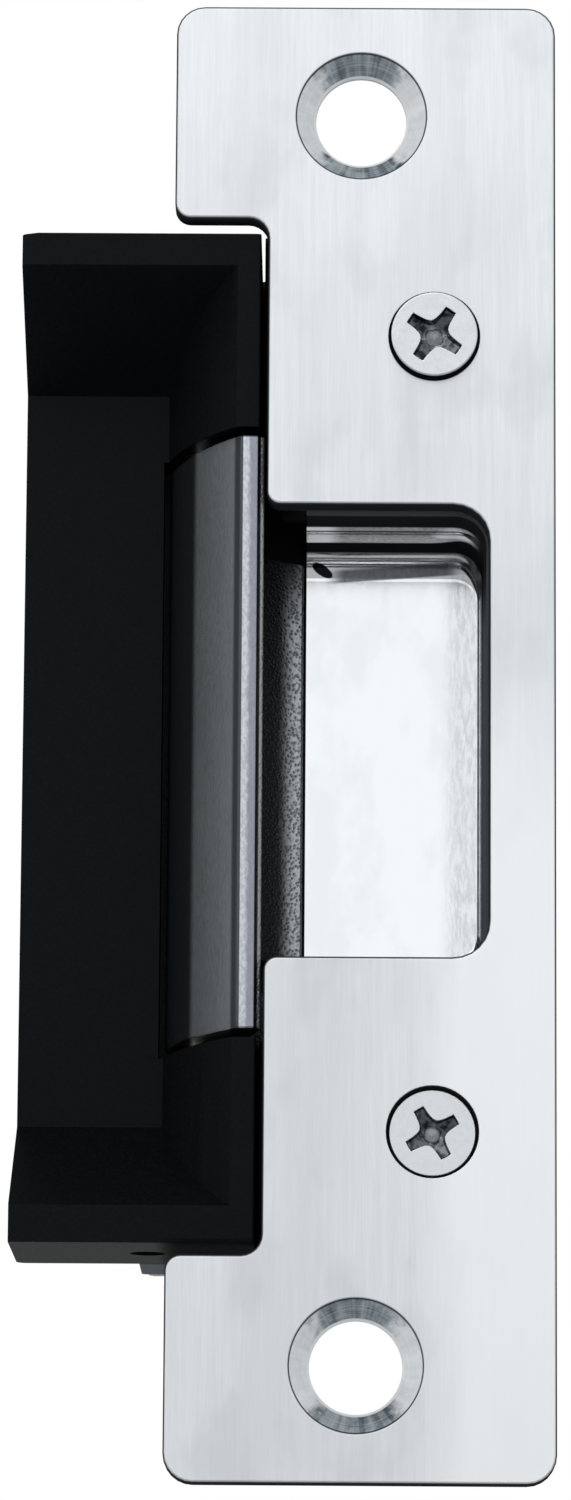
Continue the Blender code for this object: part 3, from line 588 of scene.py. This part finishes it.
def cross_screw(node, material, turn, head_r, shank_r, side=1, recess=1.0, rings=84, spokes=288):
    """Countersunk screw: a profile turned round its axis, a cross recess and a rolled thread.

    The thread lowers the shank by how far depth over pitch, less the share of a turn, is from
    a half.
    """
    low, high = corners(node)
    centre = (low + high) / 2 - ZERO
    top = (low - ZERO)[1] if side > 0 else (high - ZERO)[1]
    length = (high - low)[1]
    size = head_r / HEAD_R
    rim, edge = HEAD_RIM * size, HEAD_EDGE * size
    cone = rim + (head_r - shank_r) / math.tan(CONE_ANGLE) * 1.02
    bend = np.linspace(0.2, 1, 5) * math.pi / 2
    radius = np.concatenate([np.linspace(0, head_r - edge, rings), head_r - edge * (1 - np.sin(bend)),
                             [head_r, shank_r], np.full(THREAD_ROWS, shank_r), [0.0]])
    depth = np.concatenate([np.zeros(rings), edge * (1 - np.cos(bend)), [rim, cone],
                            np.linspace(cone + 0.05, length, THREAD_ROWS), [length]])
    theta = np.linspace(0, 2 * math.pi, spokes, endpoint=False)
    r, t = radius[:, None], theta[None, :]
    dip = cross_recess(r[:rings], t, turn, recess * size)
    y = np.broadcast_to(depth[:, None], (len(depth), spokes)).copy()
    y[:rings] += dip
    sunk = np.where(depth[:, None] > edge * 1.01, 0.8, 0.0) * np.ones_like(t)
    sunk[:rings] = dip
    wave = np.abs(((depth[:, None] / THREAD_PITCH - t / (2 * math.pi)) % 1) - 0.5) * 2
    thread = (r == shank_r) * (depth[:, None] > cone + 0.1)
    r = r * (1 - thread * THREAD_DEPTH * wave)
    rows = np.stack([centre[0] + r * np.cos(t), top + side * y, centre[2] + r * np.sin(t)], -1)
    return surface(node + "_turned", rows, material, BODY, [node], angle=40, sunk=sunk)


# Keeper: half its length and its foot's, half of the room for its spring, and its ramp's arc.
KEEPER_HALF, FOOT_HALF, SPRING_HALF = 24.85, 17.5, 6.0
KEEPER_BACK = 16.5
HEEL = ((-10.4, 13.3, -KEEPER_HALF), (-5.6, 16.2, -20.0))
RAMP_R = 31.5
RAMP = ((-10.2, LAND_Y), (-16.4, 15.0))


def ramp_arc(count):
    """Arc of the keeper's outside, from its ridge to its back edge."""
    start, end = np.array(RAMP)
    middle, half = (start + end) / 2, (end - start) / 2
    across = np.array([-half[1], half[0]]) / np.linalg.norm(half)
    centre = middle - across * math.sqrt(RAMP_R ** 2 - half @ half)
    if centre[0] < middle[0]:
        centre = middle + across * math.sqrt(RAMP_R ** 2 - half @ half)
    first, last = [math.atan2(*(point - centre)[::-1]) for point in (start, end)]
    if first - last > math.pi:
        last += 2 * math.pi
    if last - first > math.pi:
        first += 2 * math.pi
    turn = np.linspace(first, last, count)
    return centre + RAMP_R * np.stack([np.cos(turn), np.sin(turn)], -1)


def even(points, count):
    """The same open line with count points spaced evenly along it."""
    points = np.array(points, float)
    run = np.concatenate([[0], np.cumsum(np.linalg.norm(np.diff(points, axis=0), axis=1))])
    where = np.linspace(0, run[-1], count)
    return np.stack([np.interp(where, run, points[:, axis]) for axis in (0, 1)], -1)


def capped(rows, ease):
    """Rows of a closed profile carried along Z, with ends eased inward and closed on their middle."""
    centre = rows.mean(1, keepdims=True)
    pull = (centre - rows) * [1, 1, 0]
    pull *= ease / np.linalg.norm(pull, axis=2, keepdims=True)
    inward = np.sign(rows[-1, 0, 2] - rows[0, 0, 2]) * ease
    start, end = rows[:1] + pull[:1], rows[-1:] + pull[-1:]
    rows = rows.copy()
    rows[0, :, 2] += inward
    rows[-1, :, 2] -= inward
    start_middle = np.broadcast_to(centre[:1], start.shape)
    end_middle = np.broadcast_to(centre[-1:], end.shape)
    return np.concatenate([start_middle, start, rows, end, end_middle])


def keeper_bar(material):
    """Keeper: one closed profile carried along its length.

    Between the ends of the foot the inside of the profile is drawn out towards the pocket, and
    in the middle of the back it is pushed in to make room for the spring. Each share eases
    from 0 to 1 over a short length.
    """
    rim = [(-8.84, LAND_Y), (-8.72, 0.62), (-8.52, 0.74), (-8.27, 0.86), (-8.30, 1.6)]
    side = [(-9.0, 5.0), (-9.6, 8.5), (-9.95, 10.8), (-9.75, 12.8), (-9.0, 14.2),
            (-9.0, KEEPER_BACK), (-10.4, KEEPER_BACK)]
    foot = [(-9.0, 5.0), (-9.6, 8.5), (-9.95, 10.6), (-9.75, 12.4), (-8.7, 13.4), (-7.4, 14.45),
            (-6.4, 15.05), (-5.1, 15.42), (-4.97, 15.6), (-5.0, 16.3), (-10.4, KEEPER_BACK - 0.1)]
    right, left = (-10.4, KEEPER_BACK), (-15.4, KEEPER_BACK)
    slot = [right, (-12.0, KEEPER_BACK), (-12.0, 10.3), (-14.8, 10.3), (-14.8, KEEPER_BACK), left]
    heel_edge = (-15.65, KEEPER_BACK)
    outside = eased(np.vstack([[left, heel_edge], ramp_arc(40)[::-1], rim[:1]]), 0.25)
    fixed = even(np.vstack([outside, eased(rim, 0.12)]), 220)
    inner = [even(eased([rim[-1], *line], 1.2, 9), 70) for line in (side, foot)]
    back = [even(line, 60) for line in ([right, left], slot)]
    half = np.concatenate([np.linspace(0, SPRING_HALF - 0.4, 16),
                           np.linspace(SPRING_HALF - 0.3, SPRING_HALF + 0.1, 5),
                           np.linspace(SPRING_HALF + 0.6, FOOT_HALF - 0.5, 36),
                           FOOT_HALF - np.linspace(0.35, 0, 6),
                           np.linspace(FOOT_HALF + 0.3, KEEPER_HALF, 10)])
    z = np.concatenate([-half[:0:-1], half])
    drawn = soft_step(FOOT_HALF - np.abs(z), 0.0, 0.35)[:, None, None]
    pushed = soft_step(SPRING_HALF - np.abs(z), 0.0, 0.2)[:, None, None]
    parts = [np.broadcast_to(fixed, (len(z), *fixed.shape)),
             inner[0] * (1 - drawn) + inner[1] * drawn, back[0] * (1 - pushed) + back[1] * pushed]
    profile = np.concatenate(parts, 1)
    heights = np.broadcast_to(z[:, None, None], (*profile.shape[:2], 1))
    rows = capped(np.concatenate([profile, heights], 2), 0.12)
    surface("keeper_bar", rows, material, "keeper", ["keeper"], angle=35)
    block("keeper_heel", *HEEL, 0.25, material, "keeper")


def block(name, low, high, radius, material, body):
    """Block with rounded edges: a rounded rectangle carried along Z."""
    (x0, y0, z0), (x1, y1, z1) = low, high
    start = (x0, (y0 + y1) / 2)
    loop = eased([start, (x0, y0), (x1, y0), (x1, y1), (x0, y1), start], radius, 6)
    profile = along(loop, 1.0)[:-1]
    z = np.linspace(z0, z1, 6)
    rows = np.stack([np.column_stack([profile, np.full(len(profile), level)]) for level in z])
    return surface(name, capped(rows, radius), material, body, angle=40)


def tray_path(half, right, corner):
    """Open path round three sides of the pocket, from its lower left to its upper left end."""
    turn = np.linspace(-math.pi / 2, 0, 14)
    arc = np.stack([right - corner + corner * np.cos(turn), -half + corner + corner * np.sin(turn)], -1)
    straight = np.linspace(0, 1, 24)[:-1, None]
    start = np.array([(POCKET_LEFT, -half)])
    lower = np.vstack([start * (1 - straight) + arc[:1] * straight, arc])
    rise = np.linspace(-1, 1, 30)[1:-1] * (half - corner)
    side = np.stack([np.full(len(rise), right), rise], -1)
    return np.vstack([lower, side, lower[::-1] * [1, -1]])


def tray_levels():
    """How far the end walls stand in, and the depth, for each row of the pocket.

    A rolled step runs a third of the way down. Below it a quarter of an ellipse joins each wall
    to the floor: the wall stands in by width (1 - cos turn) at a depth of height (sin turn).
    """
    wall = [(0.10, 2.72), (0.0, 2.9), (0.03, 5.0), (0.05, 6.85), (0.28, 6.95), (0.48, 7.15),
            (0.66, 7.5), (0.76, 8.0), (0.82, 8.8), (0.84, 9.8), (0.78, 10.6),
            (ROUND_INSET, 12.0), (ROUND_INSET, ROUND_TOP)]
    wall = even(eased(wall, 0.3, 5), 90)
    turn = np.linspace(0, math.pi / 2, 20)[1:]
    inset = np.concatenate([wall[:, 0], ROUND_INSET + ROUND_WIDTH * (1 - np.cos(turn))])
    depth = np.concatenate([wall[:, 1], ROUND_TOP + (POCKET_FLOOR - ROUND_TOP) * np.sin(turn)])
    return inset, depth


def pocket_tray(material):
    """Pocket for the latch: rows round its walls from the rim down to the floor's middle.

    Each row runs round the inside and back round the outside of the sheet.
    """
    half_shell = POCKET_SHELL / 2
    rim = tray_path(POCKET_HALF + half_shell, POCKET_RIGHT + half_shell, 3.0)
    rows = [(rim, 2.7, rim, 2.7)]
    for inset, depth in zip(*tray_levels()):
        side = min(inset, ROUND_INSET) * 0.20 + max(inset - ROUND_INSET, 0) * 0.15
        inner = tray_path(POCKET_HALF - inset, POCKET_RIGHT - side, max(POCKET_CORNER - 0.25 * inset, 0.6))
        drop = max(0.0, depth - ROUND_TOP) / (POCKET_FLOOR - ROUND_TOP)
        skin = POCKET_SHELL - 0.05 - drop * 0.6
        outer = tray_path(POCKET_HALF + skin, POCKET_RIGHT + skin, 3.2)
        rows.append((inner, depth, outer, min(depth + drop * POCKET_SHELL, POCKET_FLOOR + POCKET_SHELL)))
    for part in (0.3, 0.7, 1.0):
        spread = [path * (1 - part) + np.minimum(path, 4.0) * [part, 0] for path in (inner, outer)]
        rows.append((spread[0], POCKET_FLOOR, spread[1], POCKET_FLOOR + POCKET_SHELL))
    sheet = [np.vstack([np.insert(front, 1, front_y, axis=1), np.insert(rear, 1, rear_y, axis=1)[::-1]])
             for front, front_y, rear, rear_y in rows]
    surface("pocket_tray", np.array(sheet), material, BODY, ["latch_pocket"], angle=40)


# Plunger's spring, and how far the plunger shortens it.
SPRING_WIRE, SPRING_TURNS = 0.22, 3
PLUNGER_STROKE = 1.8


def plunger_spring(material):
    """Plunger's spring: round wire carried along a helix.

    At a share of the wire's length, the height is the share times the rise, less the sine of the
    share of one turn over twice pi times the number of turns, so the ends lie almost flat.
    """
    low, high = [corner - ZERO for corner in corners("plunger_return_spring")]
    middle, height = (low + high) / 2, (high - low)[2]
    reach = (high - low)[0] / 2 - SPRING_WIRE
    share = np.linspace(0, 1, 240)[:, None]
    turn = 2 * math.pi * SPRING_TURNS * share
    eased_share = share - np.sin(2 * math.pi * share) / (2 * math.pi * SPRING_TURNS)
    rise = low[2] + SPRING_WIRE + (height - 2 * SPRING_WIRE) * eased_share
    around = np.linspace(0, 2 * math.pi, 16, endpoint=False)[None, :]
    wire = np.full(share.shape, SPRING_WIRE)
    wire[[0, -1]] = 0.0
    out = reach + wire * np.cos(around)
    rows = np.stack([middle[0] + out * np.cos(turn), middle[1] + out * np.sin(turn),
                     rise + wire * np.sin(around)], -1)
    spring = surface("plunger_spring", rows, material, BODY, ["plunger_return_spring"])
    1 - PLUNGER_STROKE / height
    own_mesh(spring)


SOFT_ANGLE = math.radians(28)


def softened(node, width, material):
    """Copy of a CAD node with its flats merged and its edges rounded by width millimetres."""
    bm = bmesh.new()
    bm.from_mesh(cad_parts[node].data)
    bmesh.ops.remove_doubles(bm, verts=bm.verts, dist=1e-6)
    bmesh.ops.dissolve_limit(bm, angle_limit=math.radians(0.6), verts=bm.verts, edges=bm.edges)
    mesh = bpy.data.meshes.new(node + "_finished")
    bm.to_mesh(mesh)
    bm.free()
    piece = bpy.data.objects.new(node + "_finished", mesh)
    bpy.context.scene.collection.objects.link(piece)
    mesh.materials.clear()
    mesh.materials.append(material)
    mesh.shade_smooth()
    mesh.set_sharp_from_angle(angle=SOFT_ANGLE)
    edge = piece.modifiers.new("soft_edges", "BEVEL")
    edge.width = width * MM
    edge.segments = 3
    edge.limit_method = "ANGLE"
    edge.angle_limit = SOFT_ANGLE
    edge.harden_normals = True
    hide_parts(node)
    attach(piece, BODY)


def dress(material, *nodes):
    """Give CAD nodes a finish."""
    for node in nodes:
        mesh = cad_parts[node].data
        mesh.materials.clear()
        mesh.materials.append(material)


# ---------------------------------------------------------------- stage

# Camera: its place from ZERO, its turns in degrees, and its lens, in millimetres.
CAMERA = (-3.5, -501.1, -97.8)
CAMERA_TURN = (100.843, -0.382, 0.254)
SENSOR = 36.0
LENS = 148.85
# Floor: half its side and its height, in metres.
FLOOR_REACH, FLOOR_LEVEL = 1.5, -0.165


def camera():
    """Long lens below the middle of the plate, looking up at it."""
    data = bpy.data.cameras.new("camera")
    data.sensor_fit = "VERTICAL"
    data.sensor_height = SENSOR
    data.lens = LENS
    data.clip_start = 0.01
    view = bpy.data.objects.new("camera", data)
    view.location = (np.array(CAMERA) + ZERO) * MM
    view.rotation_euler = [math.radians(turn) for turn in CAMERA_TURN]
    bpy.context.scene.collection.objects.link(view)
    bpy.context.scene.camera = view


def softbox(name, place, size, power):
    """Rectangular lamp at a place, turned towards the plate's middle; millimetres and watts."""
    data = bpy.data.lights.new(name, "AREA")
    data.shape = "RECTANGLE"
    data.size, data.size_y = size[0] * MM, size[1] * MM
    data.energy = power
    lamp = bpy.data.objects.new(name, data)
    lamp.location = (np.array(place) + ZERO) * MM
    lamp.rotation_euler = (-Vector(place)).to_track_quat("-Z", "Y").to_euler()
    bpy.context.scene.collection.objects.link(lamp)


def surroundings():
    """White card in front that fades to grey at the sides; plain white where the camera looks."""
    world = bpy.data.worlds.new("studio")
    bpy.context.scene.world = world
    world.use_nodes = True
    world.node_tree.nodes.clear()
    sky = Nodes(world.node_tree)
    way = sky.add("ShaderNodeTexCoord", {}, {}).out("Generated")
    x, y, z = sky.parts(way)
    front = ramp(y, 0.0, -0.8)
    sides = ramp(abs(x), 0.5, 0.95) * ramp(y, 0.45, 0.0) * 0.80
    above = ramp(z, 0.55, 0.95) * 0.20
    card = ramp(z, -0.10, -0.19) * ramp(z, -0.42, -0.30) * ramp(abs(x), 0.45, 0.25)
    level = 0.05 + front * 0.95 * (1 - card * 0.55) + sides * (1 - front) + above
    light = sky.add("ShaderNodeBackground", {}, {"Color": (0.97, 0.985, 1.0, 1.0), "Strength": level})
    white = sky.add("ShaderNodeBackground", {}, {"Color": (1, 1, 1, 1), "Strength": 1.0})
    seen = sky.add("ShaderNodeLightPath", {}, {}).out("Is Camera Ray")
    both = sky.add("ShaderNodeMixShader", {}, [seen, light.out(), white.out()])
    sky.add("ShaderNodeOutputWorld", {}, [both.out()])


def floor():
    """Plain pale floor under the strike."""
    mesh = bpy.data.meshes.new("floor")
    corner_signs = [(-1, -1), (1, -1), (1, 1), (-1, 1)]
    mesh.from_pydata([(x * FLOOR_REACH, y * FLOOR_REACH, FLOOR_LEVEL) for x, y in corner_signs],
                     [], [(0, 1, 2, 3)])
    item = bpy.data.objects.new("floor", mesh)
    bpy.context.scene.collection.objects.link(item)
    mesh.materials.append(plain_plastic("pale_floor", (0.80, 0.80, 0.80), (0.84, 0.84, 0.84), 0.7))


# ---------------------------------------------------------------- assembly

steel = brushed_steel()
paint = black_paint()
keeper_metal = cast_metal()
bright = polished()
screw_metal = plated_screw()
zinc = plain_metal("zinc_plate", (0.60, 0.61, 0.62), (0.72, 0.73, 0.74), 0.32)
spring_steel = plain_metal("spring_steel", (0.40, 0.41, 0.43), (0.52, 0.53, 0.55), 0.28)
bronze = plain_metal("bronze", (0.48, 0.30, 0.13), (0.60, 0.40, 0.20), 0.38)
copper = plain_metal("copper_winding", (0.55, 0.22, 0.09), (0.68, 0.30, 0.14), 0.32)
nylon = plain_plastic("nylon", (0.70, 0.68, 0.61), (0.78, 0.76, 0.69), 0.45)
green = plain_plastic("terminal_green", (0.02, 0.16, 0.06), (0.04, 0.22, 0.09), 0.4)
red = plain_plastic("lead_red", (0.30, 0.015, 0.015), (0.40, 0.03, 0.03), 0.42)
rubber = plain_plastic("grommet_rubber", (0.015, 0.015, 0.016), (0.03, 0.03, 0.032), 0.75)

softened("faceplate", 0.05, steel)
softened("lip_frame", 0.22, paint)
softened("case_body", 0.2, case_coating())
softened("back_cover", 0.12, zinc)
keeper_bar(keeper_metal)
pocket_tray(pocket_plating())
cross_screw("face_screw_upper", screw_metal, math.radians(56), 3.58, 1.9)
cross_screw("face_screw_lower", screw_metal, math.radians(-60), 3.58, 1.9, recess=0.92)
for number in range(1, 5):
    cross_screw(f"back_cover_screw_{number}", screw_metal, 0.4 * number, 2.05, 1.0,
                side=-1, rings=40, spokes=144)
dress(bright, "keeper_pin", "plunger_link_pin", "lever_pivot_pin",
      "lip_screw_upper", "lip_screw_lower", "solenoid_screw_left", "solenoid_screw_right",
      "terminal_screw_1", "terminal_screw_2")
dress(zinc, "solenoid_frame", "solenoid_pole", "plunger", "locking_lever")
plunger_spring(spring_steel)
dress(spring_steel, "keeper_return_spring", "lever_clip")
dress(bronze, "keeper_bush_upper", "keeper_bush_lower")
dress(copper, "solenoid_coil")
dress(nylon, "solenoid_bobbin")
dress(green, "terminal_block")
dress(red, "coil_lead_1", "coil_lead_2")
dress(rubber, "cable_grommet")

camera()
surroundings()
floor()
softbox("top_box", (-150, -420, 420), (500, 300), 0.45)
softbox("left_box", (-480, -260, 60), (120, 500), 0.15)
bpy.context.scene.view_settings.view_transform = "Standard"
